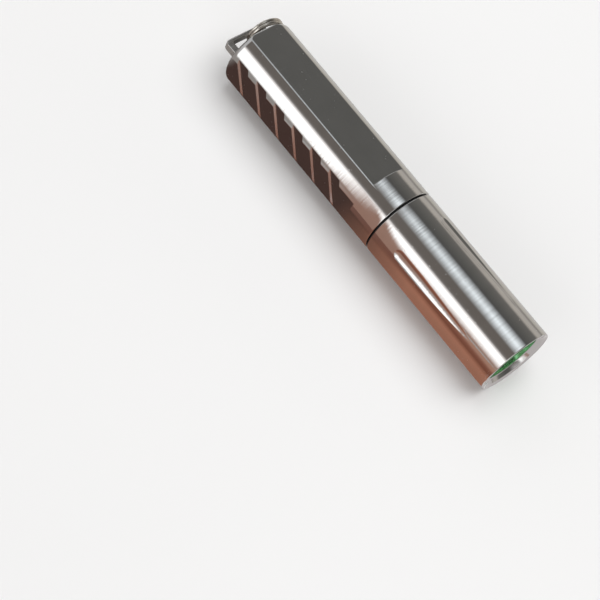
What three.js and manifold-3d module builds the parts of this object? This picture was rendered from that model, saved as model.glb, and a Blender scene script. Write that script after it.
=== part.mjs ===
// A pocket flashlight for one AAA cell, switched by turning its head on the body's thread.
// Millimetres. The beam points along +X, the bezel's lip is at x = 0, and the light lies on z = 0.
import * as THREE from "three";
import { mergeVertices } from "three/addons/utils/BufferGeometryUtils.js";
import Module from "manifold-3d";

// Cell
const CELL_DIAMETER = 10.4;
const CELL_LENGTH = 44.5; // with the nub
const CELL_NUB_DIAMETER = 3.8;
const CELL_NUB_HEIGHT = 1;
const CELL_CAP_DIAMETER = 4.6;
const CELL_END_THICKNESS = 0.5; // insulating ring, cap and negative plate
const CELL_RING_DIAMETER = 9.4;
const CELL_PLATE_DIAMETER = 8;
const CELL_CRIMP = 0.4; // rounding of the can's two ends
const CELL_CAP_CLEARANCE = 0.1; // in the insulating ring
const CELL_CLEARANCE = 0.2; // all round, in the body

// Walls, from the cell outwards
const NECK_WALL = 0.53;
const THREAD_CLEARANCE = 0.12; // neck to head, all round
const HEAD_WALL = 0.95;
const SEAT_CLEARANCE = 0.05; // of the pieces that are pushed into the head

// Head
const HEAD_LENGTH = 31.5; // lip to the middle of the joint
const JOINT_GAP = 0.38;
const EDGE_BREAK = 0.15;
const LIP_WIDTH = 0.65;
const BEZEL_DEPTH = 0.9;
const WINDOW_SHELF = 0.6; // how far the bezel reaches in over the window's edge
const WINDOW_LAND = 0.2;

// Flutes along the head
const FLUTE_COUNT = 4;
const FLUTE_ANGLE = 24.5; // degrees from the top flat's middle to the first flute
const FLUTE_START = 5.1; // from the middle of the joint
const FLUTE_STRAIGHT = 2;
const FLUTE_TAPER = 16.6;
const FLUTE_EASE = 1.6; // power by which the depth fades along the taper
const FLUTE_WIDTH = 2.07;
const FLUTE_DEPTH = 0.45;

// Window, reflector and LED, in order from the lip
const WINDOW_THICKNESS = 1.5;
const GASKET_THICKNESS = 0.5;
const GASKET_WIDTH = 0.75;
const REFLECTOR_DEPTH = 5;
const REFLECTOR_RIM = 0.8; // flat rim round the mouth
const REFLECTOR_FLANGE = 1.2;
const REFLECTOR_RELIEF = 0.35; // the cup is slimmer than its flange by this much, all round
const REFLECTOR_CUP = 3; // from the front to where the outside starts to taper
const REFLECTOR_HOLE = 3.6;
const REFLECTOR_BOSS = 6.2;
const LED_BASE_WIDTH = 3.45;
const LED_BASE_HEIGHT = 0.7;
const LED_TILE_WIDTH = 1.5;
const LED_TILE_HEIGHT = 0.2;
const LED_DOME_DIAMETER = 2.7;
const LED_CLEARANCE = 0.1;
const BOARD_DIAMETER = 10;
const BOARD_THICKNESS = 1;

// Pill and driver
const PILL_CLEARANCE = 0.04;
const PILL_RIM = 0.4; // stands round the board
const PILL_SHELF = 4.3; // heat sink behind the LED board
const PILL_CAVITY = 3.6;
const PILL_WALL = 1.4;
const PILL_LEDGE = 0.65; // seat for the driver board's edge
const DRIVER_THICKNESS = 1;
const RETAINER_THICKNESS = 1;
const RETAINER_WIDTH = 0.85;
const RETAINER_NOTCH = 1.2;
const CONTACT_FLANGE_DIAMETER = 4;
const CONTACT_FLANGE_THICKNESS = 0.5;
const CONTACT_POST_DIAMETER = 2.6;
const CONTACT_LENGTH = 2.4;
const WASHER_HEIGHT = 0.5; // how far the washer stands past the contact
const WASHER_CLEARANCE = 0.15;
const SWITCH_GAP = 0.35; // from the neck's end to the pill, closed by turning the head
const WIRE_DIAMETER = 0.8;
const WIRE_CLEARANCE = 0.2;
const WIRE_RUN = 0.25; // straight end of a wire on the LED board

// Driver components: middle across the light and height, as [y, z], and size, as [width, depth, height]
const INDUCTOR = { at: [-1.85, 0], size: [3.6, 3.6, 2.6], corner: 0.7 };
const CONTROLLER = { at: [1.8, 1.5], size: [2.7, 1.5, 1.1] };
const DIODE = { at: [1.8, -1.5], size: [2.5, 1.4, 1] };
const CAPACITOR_IN = { at: [-1.6, 2.7], size: [1.6, 0.8, 0.8] };
const CAPACITOR_OUT = { at: [-1.6, -2.7], size: [1.6, 0.8, 0.8] };

// Joint seal
const ORING_SECTION = 0.66;
const ORING_ROOM = 0.2; // room left in the pocket with the head turned home

// Tail spring
const SPRING_LENGTH = 4.75;
const SPRING_WIRE = 0.5;
const SPRING_TURNS = 4.5;
const SPRING_WIDE_DIAMETER = 9.4;
const SPRING_NARROW_DIAMETER = 6;

// Body
const TAIL_WALL = 1.6;
const TAIL_FILLET = 1.1;
const FLAT_SHOULDER = 5.85; // from the middle of the joint to the flats
const FLAT_DEPTH = 0.9;

// Grip grooves, measured along the light
const GRIP_DEPTH = 0.465; // of the ribs below the round surface
const GROOVE_DEPTH = 0.395; // below the ribs
const GROOVE_PITCH = 5.12;
const GROOVE_FLOOR = 2;
const GROOVE_WALL_RUN = 0.6;
const GROOVE_SLANT = 30; // degrees
const GROOVE_FIRST = 4.3; // from the tail face to the first floor, on the flat's middle line

// Lug and split ring
const LUG_WIDTH = 8.6;
const LUG_HEIGHT = 3.65;
const LUG_THICKNESS = 1.6;
const LUG_LEG = 1.5;
const LUG_BAR = 0.75;
const LUG_CORNER = 0.9;
const LUG_SLOT_CORNER = 0.35;
const RING_DIAMETER = 6.2; // middle of the wire
const RING_WIRE_WIDTH = 0.8;
const RING_WIRE_THICKNESS = 0.36;
const RING_COIL_GAP = 0.42;
const RING_STEP = 56; // degrees in which the wire climbs from one coil to the other
const RING_CANT = 10; // degrees, with its free side nearer the tail
const RING_SHIFT = 0.45; // from the middle of the lug's leg to the ring's middle, towards the slot
const RING_RISE = 1.25; // of the ring's middle above the axis

// Facets round a turned piece, and steps along a curve
const ROUND = 60;
const MIDDLE_ROUND = 44;
const SMALL_ROUND = 28;
const HOLE_ROUND = 16;
const CURVE_STEPS = 10;
const CORNER_STEPS = 6;
const SPRING_SIDES = 5;
const SPRING_STEPS = 8; // in a turn
const RING_STEPS = 36; // in a turn
const WIRE_SIDES = 8;
const WIRE_STEPS = 16;

const MARGIN = 1; // how far a cutter reaches past what it cuts

// Radii
const cellRadius = CELL_DIAMETER / 2;
const bodyBore = cellRadius + CELL_CLEARANCE;
const neckRadius = bodyBore + NECK_WALL;
const headBore = neckRadius + THREAD_CLEARANCE;
const outerRadius = headBore + HEAD_WALL;
const windowRadius = headBore - WINDOW_SHELF;
const boardRadius = BOARD_DIAMETER / 2;
const pillRadius = headBore - PILL_CLEARANCE;
const cavityRadius = pillRadius - PILL_WALL;
const driverSeat = cavityRadius + PILL_LEDGE;
const driverRadius = driverSeat - PILL_CLEARANCE;
const oringOuter = neckRadius + ORING_SECTION;
const wireRadius = WIRE_DIAMETER / 2;
const wireEnd = REFLECTOR_BOSS / 2 + WIRE_CLEARANCE;
const wireOffset = wireEnd + WIRE_RUN + wireRadius;

// Stations along the light, from the lip to the tail
const windowFront = -(BEZEL_DEPTH + WINDOW_LAND);
const windowBack = windowFront - WINDOW_THICKNESS;
const reflectorFront = windowBack - GASKET_THICKNESS;
const reflectorBack = reflectorFront - REFLECTOR_DEPTH;
const boardFront = reflectorBack - LED_BASE_HEIGHT - LED_CLEARANCE;
const boardBack = boardFront - BOARD_THICKNESS;
const shelfBack = boardBack - PILL_SHELF;
const driverFront = shelfBack - PILL_CAVITY;
const driverBack = driverFront - DRIVER_THICKNESS;
const pillBack = driverBack - RETAINER_THICKNESS;
const neckEnd = pillBack - SWITCH_GAP;
const contactTip = driverBack - CONTACT_LENGTH;
const joint = -HEAD_LENGTH;
const headRear = joint + JOINT_GAP / 2;
const shoulder = joint - JOINT_GAP / 2;
const cellRingBack = contactTip - CELL_NUB_HEIGHT - CELL_END_THICKNESS;
const cellBack = contactTip - CELL_LENGTH;
const bodyFloor = cellBack - SPRING_LENGTH;
const tail = bodyFloor - TAIL_WALL;
const flatStart = joint - FLAT_SHOULDER;

const wasm = await Module();
wasm.setup();

// Materials

function metal(color, roughness) {
  return new THREE.MeshStandardMaterial({ color, roughness, metalness: 1 });
}

function plain(color, roughness) {
  return new THREE.MeshStandardMaterial({ color, roughness, metalness: 0 });
}

const polishedSteel = metal(0xc8c9ca, 0.12);
const nickel = metal(0xb9b6ae, 0.2);
const brass = metal(0xc9a45a, 0.3);
const gold = metal(0xd8b25c, 0.25);
const mirror = metal(0xe6e7e8, 0.05);
const aluminium = metal(0xd0d2d3, 0.35);
const rubber = plain(0x17181a, 0.7);
const glass = new THREE.MeshStandardMaterial({
  color: 0xa9d8b2,
  roughness: 0.03,
  metalness: 0,
  transparent: true,
  opacity: 0.35,
});
const silicone = new THREE.MeshStandardMaterial({
  color: 0xf2f1e6,
  roughness: 0.08,
  metalness: 0,
  transparent: true,
  opacity: 0.45,
});
const whitePlastic = plain(0xe9e9e4, 0.5);
const blackPlastic = plain(0x202124, 0.45);
const ceramic = plain(0xeceae2, 0.4);
const phosphor = plain(0xe8cf3a, 0.6);
const circuitGreen = plain(0x1f5a38, 0.5);
const ferrite = plain(0x3a3c40, 0.6);
const tanCeramic = plain(0xb08a5c, 0.5);
const cellJacket = plain(0x34373c, 0.35);
const redInsulation = plain(0xb0231e, 0.45);
const blackInsulation = plain(0x1b1b1d, 0.45);

// Helpers

const radians = THREE.MathUtils.degToRad;

function mesh(name, geometry, material) {
  const piece = new THREE.Mesh(geometry, material);
  piece.name = name;
  return piece;
}

// A closed outline of [x, radius] points turned round the X axis, with a facet facing straight up.
function turned(outline, facets) {
  const points = outline.map(([x, radius]) => new THREE.Vector2(radius, x));
  const geometry = new THREE.LatheGeometry(points, facets, Math.PI / facets);
  return geometry.rotateZ(-Math.PI / 2);
}

function disc(back, front, radius, facets) {
  const outline = [
    [back, 0],
    [back, radius],
    [front, radius],
    [front, 0],
  ];
  return turned(outline, facets);
}

function hollowDisc(back, front, inner, outer, facets) {
  const outline = [
    [back, inner],
    [back, outer],
    [front, outer],
    [front, inner],
    [back, inner],
  ];
  return turned(outline, facets);
}

// Points of an arc in an outline, from one angle to another, in degrees.
function arc(x, radius, size, from, to, steps) {
  const points = [];
  for (let i = 0; i <= steps; i++) {
    const angle = radians(from + ((to - from) * i) / steps);
    points.push([x + size * Math.cos(angle), radius + size * Math.sin(angle)]);
  }
  return points;
}

function block(back, front, left, right, low, high) {
  const geometry = new THREE.BoxGeometry(front - back, right - left, high - low);
  return geometry.translate((back + front) / 2, (left + right) / 2, (low + high) / 2);
}

function solid(geometry) {
  const bare = geometry.index ? geometry.toNonIndexed() : geometry.clone();
  bare.deleteAttribute("normal");
  bare.deleteAttribute("uv");
  const merged = mergeVertices(bare, 1e-4);
  const corners = merged.index.array;
  const kept = [];
  for (let i = 0; i < corners.length; i += 3) {
    const [a, b, c] = corners.slice(i, i + 3);
    if (a !== b && b !== c && c !== a) kept.push(a, b, c);
  }
  return new wasm.Manifold(
    new wasm.Mesh({
      numProp: 3,
      vertProperties: merged.attributes.position.array,
      triVerts: new Uint32Array(kept),
    }),
  );
}

function geometryOf(made) {
  const { vertProperties, triVerts } = made.getMesh();
  const geometry = new THREE.BufferGeometry();
  geometry.setAttribute("position", new THREE.BufferAttribute(vertProperties, 3));
  geometry.setIndex(new THREE.BufferAttribute(triVerts, 1));
  geometry.computeVertexNormals();
  return geometry;
}

function cut(geometry, cutters) {
  const left = cutters.reduce((rest, cutter) => rest.subtract(solid(cutter)), solid(geometry));
  return geometryOf(left);
}

// A wire wound round the X axis: its section is a list of [along X, outwards] points.
function wound(name, { start, turns, steps, radiusAt, xAt, section }) {
  const rings = Math.round(turns * steps);
  const points = [];
  for (let i = 0; i <= rings; i++) {
    const share = i / rings;
    const angle = start + share * turns * 2 * Math.PI;
    for (const [along, out] of section) {
      const radius = radiusAt(share) + out;
      points.push(new THREE.Vector3(
        xAt(share) + along,
        radius * Math.cos(angle),
        radius * Math.sin(angle),
      ));
    }
  }
  printLeastGap(name, points, section.length, steps);
  return sweptGeometry(points, section.length, rings);
}

// The wire's least gap to itself, between corners that are at least half a turn apart.
function printLeastGap(name, points, sides, steps) {
  const apart = Math.round(steps / 2) * sides;
  let least = Infinity;
  for (let i = 0; i < points.length; i++) {
    for (let j = i + apart; j < points.length; j++) {
      least = Math.min(least, points[i].distanceTo(points[j]));
    }
  }
  console.log(name + ": least gap between turns " + least.toFixed(2) + " mm");
}

function sweptGeometry(points, sides, rings) {
  const corners = [];
  for (let i = 0; i < rings; i++) {
    for (let j = 0; j < sides; j++) {
      const next = (j + 1) % sides;
      const a = i * sides + j;
      const b = i * sides + next;
      corners.push(a, b, b + sides, a, b + sides, a + sides);
    }
  }
  const last = rings * sides;
  for (let j = 1; j < sides - 1; j++) {
    corners.push(0, j + 1, j);
    corners.push(last, last + j, last + j + 1);
  }
  const geometry = new THREE.BufferGeometry().setFromPoints(points);
  geometry.setIndex(corners);
  geometry.computeVertexNormals();
  return geometry;
}

// Body

// The tube with its neck, before the flats and grooves are cut.
function bodyBlank() {
  const fillet = arc(tail + TAIL_FILLET, outerRadius - TAIL_FILLET, TAIL_FILLET, 180, 90, CORNER_STEPS);
  return turned(
    [
      [tail, 0],
      ...fillet,
      [shoulder - EDGE_BREAK, outerRadius],
      [shoulder, outerRadius - EDGE_BREAK],
      [shoulder, neckRadius],
      [neckEnd - EDGE_BREAK, neckRadius],
      [neckEnd, neckRadius - EDGE_BREAK],
      [neckEnd, bodyBore],
      [bodyFloor, bodyBore],
      [bodyFloor, 0],
    ],
    ROUND,
  );
}

// A cutter that takes one side of the tube down to a flat from the shoulder to the tail.
function flatCutter(depth, turn) {
  const reach = outerRadius + MARGIN;
  const slab = block(tail - MARGIN, flatStart, -reach, reach, outerRadius - depth, reach);
  return slab.rotateX(turn);
}

// A slanted groove with sloping walls, for the grip that faces -Y.
function grooveCutter(start, turn) {
  const floorLevel = outerRadius - GRIP_DEPTH - GROOVE_DEPTH;
  const reach = outerRadius + MARGIN;
  const run = (GROOVE_WALL_RUN * (reach - floorLevel)) / GROOVE_DEPTH;
  const outline = new THREE.Shape([
    new THREE.Vector2(start - run, -reach),
    new THREE.Vector2(start + GROOVE_FLOOR + run, -reach),
    new THREE.Vector2(start + GROOVE_FLOOR, -floorLevel),
    new THREE.Vector2(start, -floorLevel),
  ]);
  const geometry = new THREE.ExtrudeGeometry(outline, { depth: 2 * reach, bevelEnabled: false });
  geometry.translate(0, 0, -reach);
  const slant = new THREE.Matrix4().makeShear(0, 0, 0, 0, -Math.tan(radians(GROOVE_SLANT)), 0);
  return geometry.applyMatrix4(slant).rotateX(turn);
}

function grooveCutters() {
  const floorLevel = outerRadius - GRIP_DEPTH - GROOVE_DEPTH;
  const halfChord = Math.sqrt(outerRadius ** 2 - floorLevel ** 2);
  const slantRun = halfChord * Math.tan(radians(GROOVE_SLANT));
  const room = flatStart - tail - GROOVE_FIRST - GROOVE_FLOOR - GROOVE_WALL_RUN - slantRun;
  const count = Math.floor(room / GROOVE_PITCH) + 1;
  const cutters = [];
  for (let i = 0; i < count; i++) {
    const start = tail + GROOVE_FIRST + i * GROOVE_PITCH;
    cutters.push(grooveCutter(start, 0), grooveCutter(start, Math.PI));
  }
  return cutters;
}

// The arch at the tail, whose feet run into the tail wall.
function lug() {
  const half = LUG_WIDTH / 2;
  const foot = tail + TAIL_WALL / 2;
  const top = tail - LUG_HEIGHT;
  const slotHalf = half - LUG_LEG;
  const slotTop = top + LUG_BAR;
  const outline = new THREE.Shape();
  outline.moveTo(foot, -half);
  outline.lineTo(foot, half);
  outline.lineTo(top + LUG_CORNER, half);
  outline.absarc(top + LUG_CORNER, half - LUG_CORNER, LUG_CORNER, Math.PI / 2, Math.PI, false);
  outline.lineTo(top, LUG_CORNER - half);
  outline.absarc(top + LUG_CORNER, LUG_CORNER - half, LUG_CORNER, Math.PI, 1.5 * Math.PI, false);
  const slot = new THREE.Path();
  slot.moveTo(tail, -slotHalf);
  slot.lineTo(slotTop + LUG_SLOT_CORNER, -slotHalf);
  slot.absarc(slotTop + LUG_SLOT_CORNER, LUG_SLOT_CORNER - slotHalf, LUG_SLOT_CORNER,
    1.5 * Math.PI, Math.PI, true);
  slot.lineTo(slotTop, slotHalf - LUG_SLOT_CORNER);
  slot.absarc(slotTop + LUG_SLOT_CORNER, slotHalf - LUG_SLOT_CORNER, LUG_SLOT_CORNER,
    Math.PI, Math.PI / 2, true);
  slot.lineTo(tail, slotHalf);
  outline.holes.push(slot);
  const shape = { depth: LUG_THICKNESS, bevelEnabled: false, curveSegments: CORNER_STEPS };
  return new THREE.ExtrudeGeometry(outline, shape).translate(0, 0, -LUG_THICKNESS / 2);
}

function bodyTube() {
  const cutters = [
    flatCutter(FLAT_DEPTH, 0),
    flatCutter(FLAT_DEPTH, Math.PI),
    flatCutter(GRIP_DEPTH, Math.PI / 2),
    flatCutter(GRIP_DEPTH, -Math.PI / 2),
    ...grooveCutters(),
  ];
  const tube = solid(cut(bodyBlank(), cutters));
  return mesh("body_tube", geometryOf(tube.add(solid(lug()))), polishedSteel);
}

function jointRing() {
  const size = ORING_SECTION / 2;
  const outline = arc(shoulder + size, neckRadius + size, size, 360, 0, CURVE_STEPS);
  return mesh("joint_oring", turned(outline, ROUND), rubber);
}

function tailSpring() {
  const size = SPRING_WIRE / 2;
  const section = [];
  for (let i = 0; i < SPRING_SIDES; i++) {
    const angle = (i * 2 * Math.PI) / SPRING_SIDES;
    section.push([size * Math.cos(angle), size * Math.sin(angle)]);
  }
  const wide = SPRING_WIDE_DIAMETER / 2 - size;
  const narrow = SPRING_NARROW_DIAMETER / 2 - size;
  const geometry = wound("tail_spring", {
    start: 0,
    turns: SPRING_TURNS,
    steps: SPRING_STEPS,
    radiusAt: (share) => wide + (narrow - wide) * share,
    xAt: (share) => bodyFloor + size + (SPRING_LENGTH - SPRING_WIRE) * share,
    section,
  });
  return mesh("tail_spring", geometry, gold);
}

// Two coils of flat wire, which step across in one place.
// They run through the slot, round one of the lug's legs.
function splitRing() {
  const thick = RING_WIRE_THICKNESS / 2;
  const wide = RING_WIRE_WIDTH / 2;
  const section = [
    [-thick, -wide],
    [thick, -wide],
    [thick, wide],
    [-thick, wide],
  ];
  const radius = RING_DIAMETER / 2;
  const climb = RING_WIRE_THICKNESS + RING_COIL_GAP;
  const turns = 2 - RING_STEP / 360;
  const stepHalf = RING_STEP / 720 / turns;
  const height = (share) => THREE.MathUtils.smoothstep(share, 0.5 - stepHalf, 0.5 + stepHalf) - 0.5;
  const geometry = wound("split_ring", {
    start: radians(RING_STEP / 2),
    turns,
    steps: RING_STEPS,
    radiusAt: () => radius,
    xAt: (share) => climb * height(share),
    section,
  });
  const ring = mesh("split_ring", geometry, nickel);
  const slotMiddle = tail - (LUG_HEIGHT - LUG_BAR) / 2;
  const legMiddle = (LUG_WIDTH - LUG_LEG) / 2;
  ring.position.set(slotMiddle, legMiddle - RING_SHIFT, RING_RISE);
  ring.rotation.z = -radians(RING_CANT);
  return ring;
}

// Cell

function cellCan() {
  const back = cellBack + CELL_END_THICKNESS;
  return turned(
    [
      [back, 0],
      [back, cellRadius - CELL_CRIMP],
      [back + CELL_CRIMP, cellRadius],
      [cellRingBack - CELL_CRIMP, cellRadius],
      [cellRingBack, cellRadius - CELL_CRIMP],
      [cellRingBack, 0],
    ],
    ROUND,
  );
}

function cellCap() {
  const step = cellRingBack + CELL_END_THICKNESS;
  return turned(
    [
      [cellRingBack, 0],
      [cellRingBack, CELL_CAP_DIAMETER / 2],
      [step, CELL_CAP_DIAMETER / 2],
      [step, CELL_NUB_DIAMETER / 2],
      [contactTip - EDGE_BREAK, CELL_NUB_DIAMETER / 2],
      [contactTip, CELL_NUB_DIAMETER / 2 - EDGE_BREAK],
      [contactTip, 0],
    ],
    SMALL_ROUND,
  );
}

function cell() {
  const group = new THREE.Group();
  const ringInner = CELL_CAP_DIAMETER / 2 + CELL_CAP_CLEARANCE;
  const ringFront = cellRingBack + CELL_END_THICKNESS;
  const ring = hollowDisc(cellRingBack, ringFront, ringInner, CELL_RING_DIAMETER / 2, ROUND);
  const plate = disc(cellBack, cellBack + CELL_END_THICKNESS, CELL_PLATE_DIAMETER / 2, SMALL_ROUND);
  group.add(mesh("cell_can", cellCan(), cellJacket));
  group.add(mesh("cell_positive_cap", cellCap(), nickel));
  group.add(mesh("cell_insulator", ring, whitePlastic));
  group.add(mesh("cell_negative_plate", plate, nickel));
  return group;
}

// Head

// A cutter with a round nose, a straight run and a long taper that leaves the surface at a point.
function fluteCutter(turn) {
  const halfWidth = FLUTE_WIDTH / 2;
  const edgeDrop = outerRadius - Math.sqrt(outerRadius ** 2 - halfWidth ** 2);
  const sag = FLUTE_DEPTH - edgeDrop;
  const size = (halfWidth ** 2 + sag ** 2) / (2 * sag);
  const axis = outerRadius - FLUTE_DEPTH + size;
  const graze = axis - outerRadius;
  const nose = Math.sqrt(size ** 2 - graze ** 2);
  const start = joint + FLUTE_START + nose;
  const taperStart = joint + FLUTE_START + FLUTE_STRAIGHT;
  const outline = arc(start, 0, size, 180, 90, CURVE_STEPS);
  for (let i = 0; i <= CURVE_STEPS; i++) {
    const share = i / CURVE_STEPS;
    outline.push([taperStart + FLUTE_TAPER * share, graze + FLUTE_DEPTH * (1 - share) ** FLUTE_EASE]);
  }
  outline.push([taperStart + FLUTE_TAPER, 0]);
  return turned(outline, MIDDLE_ROUND).translate(0, 0, axis).rotateX(-turn);
}

function headShell() {
  const pocketFloor = headRear + ORING_SECTION - JOINT_GAP + SWITCH_GAP + ORING_ROOM;
  const pocketRadius = oringOuter + SEAT_CLEARANCE;
  const blank = turned(
    [
      [headRear, pocketRadius],
      [headRear, outerRadius - EDGE_BREAK],
      [headRear + EDGE_BREAK, outerRadius],
      [-EDGE_BREAK, outerRadius],
      [0, outerRadius - EDGE_BREAK],
      [0, outerRadius - LIP_WIDTH],
      [-BEZEL_DEPTH, windowRadius],
      [windowFront, windowRadius],
      [windowFront, headBore],
      [pocketFloor, headBore],
      [pocketFloor, pocketRadius],
      [headRear, pocketRadius],
    ],
    ROUND,
  );
  const cutters = [];
  for (let i = 0; i < FLUTE_COUNT; i++) {
    cutters.push(fluteCutter(radians(FLUTE_ANGLE) + (i * 2 * Math.PI) / FLUTE_COUNT));
  }
  return mesh("head_shell", cut(blank, cutters), polishedSteel);
}

// A parabolic cup, open at the back for the LED.
function reflector() {
  const flange = headBore - SEAT_CLEARANCE;
  const mouth = flange - REFLECTOR_RIM;
  const hole = REFLECTOR_HOLE / 2;
  const outline = [
    [reflectorBack, hole],
    [reflectorBack, REFLECTOR_BOSS / 2],
    [reflectorFront - REFLECTOR_CUP, flange - REFLECTOR_RELIEF],
    [reflectorFront - REFLECTOR_FLANGE, flange - REFLECTOR_RELIEF],
    [reflectorFront - REFLECTOR_FLANGE, flange],
    [reflectorFront, flange],
  ];
  for (let i = 0; i <= CURVE_STEPS; i++) {
    const radius = mouth + ((hole - mouth) * i) / CURVE_STEPS;
    const share = (radius ** 2 - hole ** 2) / (mouth ** 2 - hole ** 2);
    outline.push([reflectorBack + REFLECTOR_DEPTH * share, radius]);
  }
  return mesh("reflector", turned(outline, MIDDLE_ROUND), mirror);
}

function ledDome() {
  const base = boardFront + LED_BASE_HEIGHT;
  const size = LED_DOME_DIAMETER / 2;
  const half = LED_TILE_WIDTH / 2 + LED_CLEARANCE;
  const dome = turned([[base, 0], ...arc(base, 0, size, 90, 0, CURVE_STEPS)], SMALL_ROUND);
  const room = LED_TILE_HEIGHT + LED_CLEARANCE;
  return cut(dome, [block(base - MARGIN, base + room, -half, half, -half, half)]);
}

function led() {
  const group = new THREE.Group();
  const half = LED_BASE_WIDTH / 2;
  const tile = LED_TILE_WIDTH / 2;
  const base = boardFront + LED_BASE_HEIGHT;
  const inner = half * Math.SQRT2 + LED_CLEARANCE;
  const collar = hollowDisc(boardFront, reflectorBack, inner, REFLECTOR_BOSS / 2, MIDDLE_ROUND);
  group.add(mesh("led_centring_ring", collar, whitePlastic));
  group.add(mesh("led_base", block(boardFront, base, -half, half, -half, half), ceramic));
  group.add(mesh("led_tile", block(base, base + LED_TILE_HEIGHT, -tile, tile, -tile, tile), phosphor));
  group.add(mesh("led_dome", ledDome(), silicone));
  return group;
}

// A hole for a wire, above the axis for +1 and below it for -1.
function wireHole(back, front, side) {
  const radius = wireRadius + WIRE_CLEARANCE;
  return disc(back - MARGIN, front + MARGIN, radius, HOLE_ROUND).translate(0, 0, side * wireOffset);
}

function ledBoard() {
  const blank = disc(boardBack, boardFront, boardRadius, MIDDLE_ROUND);
  const holes = [1, -1].map((side) => wireHole(boardBack, boardFront, side));
  return mesh("led_board", cut(blank, holes), aluminium);
}

function pill() {
  const rim = boardRadius + PILL_CLEARANCE;
  const blank = turned(
    [
      [pillBack, driverSeat],
      [pillBack, pillRadius],
      [boardBack + PILL_RIM, pillRadius],
      [boardBack + PILL_RIM, rim],
      [boardBack, rim],
      [boardBack, 0],
      [shelfBack, 0],
      [shelfBack, cavityRadius],
      [driverFront, cavityRadius],
      [driverFront, driverSeat],
      [pillBack, driverSeat],
    ],
    ROUND,
  );
  const holes = [1, -1].map((side) => wireHole(driverFront, boardBack, side));
  return mesh("pill", cut(blank, holes), brass);
}

function retainingRing() {
  const inner = driverRadius - RETAINER_WIDTH;
  const ring = hollowDisc(pillBack, driverBack, inner, driverRadius, ROUND);
  const half = RETAINER_NOTCH / 2;
  const reach = driverRadius + MARGIN;
  const notch = block(pillBack - MARGIN, pillBack + RETAINER_THICKNESS / 2, -reach, reach, -half, half);
  return mesh("retaining_ring", cut(ring, [notch]), brass);
}

function positiveContact() {
  const flange = driverBack - CONTACT_FLANGE_THICKNESS;
  const outline = [
    [contactTip, 0],
    [contactTip, CONTACT_POST_DIAMETER / 2 - EDGE_BREAK],
    [contactTip + EDGE_BREAK, CONTACT_POST_DIAMETER / 2],
    [flange, CONTACT_POST_DIAMETER / 2],
    [flange, CONTACT_FLANGE_DIAMETER / 2],
    [driverBack, CONTACT_FLANGE_DIAMETER / 2],
    [driverBack, 0],
  ];
  return mesh("positive_contact", turned(outline, SMALL_ROUND), brass);
}

function contactWasher() {
  const inner = Math.max(CONTACT_FLANGE_DIAMETER, CELL_NUB_DIAMETER) / 2 + WASHER_CLEARANCE;
  const outer = driverRadius - RETAINER_WIDTH - WASHER_CLEARANCE;
  const washer = hollowDisc(contactTip - WASHER_HEIGHT, driverBack, inner, outer, MIDDLE_ROUND);
  return mesh("contact_washer", washer, whitePlastic);
}

// A component on the driver's front, with its upright corners cut off where it has any cut.
function component(name, { at, size, corner }, material) {
  const [width, depth, height] = size;
  const outline = new THREE.Shape();
  const right = width / 2;
  const high = depth / 2;
  const off = corner ?? 0;
  outline.moveTo(right, off - high);
  outline.lineTo(right, high - off);
  outline.lineTo(right - off, high);
  outline.lineTo(off - right, high);
  outline.lineTo(-right, high - off);
  outline.lineTo(-right, off - high);
  outline.lineTo(off - right, -high);
  outline.lineTo(right - off, -high);
  const geometry = new THREE.ExtrudeGeometry(outline, { depth: height, bevelEnabled: false });
  geometry.rotateX(Math.PI / 2).rotateZ(Math.PI / 2);
  return mesh(name, geometry.translate(driverFront, ...at), material);
}

function driver() {
  const group = new THREE.Group();
  group.add(mesh("driver_board", disc(driverBack, driverFront, driverRadius, ROUND), circuitGreen));
  group.add(component("driver_inductor", INDUCTOR, ferrite));
  group.add(component("driver_controller", CONTROLLER, blackPlastic));
  group.add(component("driver_diode", DIODE, blackPlastic));
  group.add(component("driver_capacitor_in", CAPACITOR_IN, tanCeramic));
  group.add(component("driver_capacitor_out", CAPACITOR_OUT, tanCeramic));
  return group;
}

// A wire from the driver through the pill and the LED board, bent in over the board.
function wire(name, side, material) {
  const top = boardFront + wireRadius;
  const path = new THREE.CurvePath();
  const start = new THREE.Vector3(driverFront, 0, side * wireOffset);
  const bendStart = new THREE.Vector3(boardFront, 0, side * wireOffset);
  const bendCorner = new THREE.Vector3(top, 0, side * wireOffset);
  const bendEnd = new THREE.Vector3(top, 0, side * (wireOffset - wireRadius));
  const end = new THREE.Vector3(top, 0, side * wireEnd);
  path.add(new THREE.LineCurve3(start, bendStart));
  path.add(new THREE.QuadraticBezierCurve3(bendStart, bendCorner, bendEnd));
  path.add(new THREE.LineCurve3(bendEnd, end));
  const section = new THREE.Shape().absarc(0, 0, wireRadius, 0, 2 * Math.PI, false);
  const sweep = { steps: WIRE_STEPS, curveSegments: WIRE_SIDES / 2, extrudePath: path };
  return mesh(name, new THREE.ExtrudeGeometry(section, sweep), material);
}

function head() {
  const group = new THREE.Group();
  const paneRadius = headBore - SEAT_CLEARANCE;
  const gasket = hollowDisc(reflectorFront, windowBack, paneRadius - GASKET_WIDTH, paneRadius, ROUND);
  group.add(headShell());
  group.add(mesh("window", disc(windowBack, windowFront, paneRadius, ROUND), glass));
  group.add(mesh("window_gasket", gasket, rubber));
  group.add(reflector());
  group.add(led());
  group.add(ledBoard());
  group.add(pill());
  group.add(retainingRing());
  group.add(driver());
  group.add(positiveContact());
  group.add(contactWasher());
  group.add(wire("wire_positive", 1, redInsulation));
  group.add(wire("wire_negative", -1, blackInsulation));
  return group;
}

const light = new THREE.Group();
light.add(bodyTube(), jointRing(), tailSpring(), splitRing(), cell(), head());
light.position.z = outerRadius;

export default light;
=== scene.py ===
import math

import bpy
from mathutils import Matrix, Vector


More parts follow.
